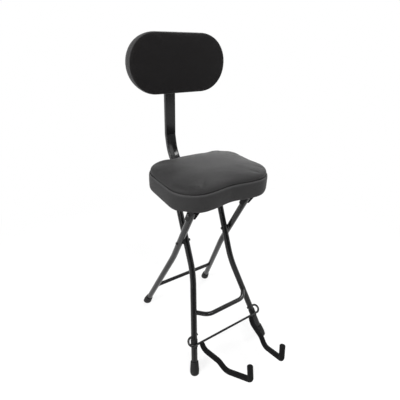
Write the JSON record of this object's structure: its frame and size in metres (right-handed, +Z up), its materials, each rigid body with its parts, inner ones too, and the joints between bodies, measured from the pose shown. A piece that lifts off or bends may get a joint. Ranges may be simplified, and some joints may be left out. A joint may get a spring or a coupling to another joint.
{
  "type": "guitar chair",
  "caption": "Folding guitar chair: padded seat, padded backrest on a flat bent post, crossed tube legs, bar footrest and a fold-up cradle with foam hooks that holds the instrument.",
  "frame": {"origin": "on the floor, under the middle of the bounding box", "axes": "+X to the sitter's left, +Y to the rear, +Z up; the sitter faces -Y"},
  "size_m": [0.3556, 0.6547, 1.0773],
  "materials": {
    "black_paint": "gloss black paint",
    "zinc_steel": "zinc plated",
    "black_rubber": "matte",
    "black_plastic": "satin",
    "seat_leatherette": "fine grain, satin",
    "back_fabric": "matte weave",
    "hook_foam": "closed-cell foam",
    "plywood": "black stain"
  },
  "bodies": {
    "rear_frame": {"rear_leg_left": "black_paint", "rear_leg_right": "black_paint", "rear_cross_bar": "black_paint", "rear_foot_left": "black_rubber", "rear_foot_right": "black_rubber", "crossing_bolt_left": "zinc_steel", "crossing_bolt_right": "zinc_steel", "crossing_nut_left": "zinc_steel", "crossing_nut_right": "zinc_steel", "crossing_spacer_left": "black_plastic", "crossing_spacer_right": "black_plastic"},
    "front_frame": {"front_leg_left": "black_paint", "front_leg_right": "black_paint", "front_top_tube": "black_paint", "footrest": "black_paint", "front_foot_left": "black_rubber", "front_foot_right": "black_rubber", "rest_sleeve_left": "black_rubber", "rest_sleeve_right": "black_rubber"},
    "seat": {"seat_board": "plywood", "seat_cushion": "seat_leatherette", "seat_bracket_left": "black_paint", "seat_bracket_right": "black_paint", "hinge_pin_left": "zinc_steel", "hinge_pin_right": "zinc_steel", "bracket_screw_left_front": "zinc_steel", "bracket_screw_left_rear": "zinc_steel", "bracket_screw_right_front": "zinc_steel", "bracket_screw_right_rear": "zinc_steel", "seat_catch_left": "black_plastic", "seat_catch_right": "black_plastic", "catch_screw_left": "zinc_steel", "catch_screw_right": "zinc_steel", "post_receiver": "black_paint", "receiver_screw_left_front": "zinc_steel", "receiver_screw_left_rear": "zinc_steel", "receiver_screw_right_front": "zinc_steel", "receiver_screw_right_rear": "zinc_steel", "clamp_nut": "zinc_steel"},
    "backrest": {"back_post": "black_paint", "post_plug_top": "black_plastic", "post_plug_front": "black_plastic", "back_plate": "black_paint", "back_board": "plywood", "back_cushion": "back_fabric", "back_bolt_lower": "zinc_steel", "back_bolt_upper": "zinc_steel", "back_screw_left_lower": "zinc_steel", "back_screw_left_upper": "zinc_steel", "back_screw_right_lower": "zinc_steel", "back_screw_right_upper": "zinc_steel"},
    "cradle": {"cradle_rod": "black_paint", "hook_core_left": "black_paint", "hook_core_right": "black_paint", "hook_foam_left": "hook_foam", "hook_foam_right": "hook_foam"},
    "knob": {"clamp_knob": "black_plastic", "clamp_screw": "zinc_steel"}
  },
  "joints": [
    {"name": "seat_fold", "type": "hinge", "parent": "rear_frame", "child": "seat", "pos_m": [0, -0.02649, 0.58], "axis": [1, 0, 0], "range_deg": [0, 115]},
    {"name": "leg_fold", "type": "hinge", "parent": "rear_frame", "child": "front_frame", "pos_m": [0, 0.0508, 0.427], "axis": [1, 0, 0], "range_deg": [0, 46]},
    {"name": "cradle_fold", "type": "hinge", "parent": "front_frame", "child": "cradle", "pos_m": [0, -0.08767, 0.116], "axis": [-1, 0, 0], "range_deg": [0, 80]},
    {"name": "back_slide", "type": "slide", "parent": "seat", "child": "backrest", "axis": [0, 1, 0], "range_m": [0, 0.05]},
    {"name": "clamp_turn", "type": "hinge", "parent": "seat", "child": "knob", "pos_m": [0, 0.16, 0.5978], "axis": [0, 0, -1], "range_deg": [0, 360]}
  ],
  "couplings": [
    {"joint": "leg_fold", "follows": "seat_fold", "ratio": 0.4}
  ]
}
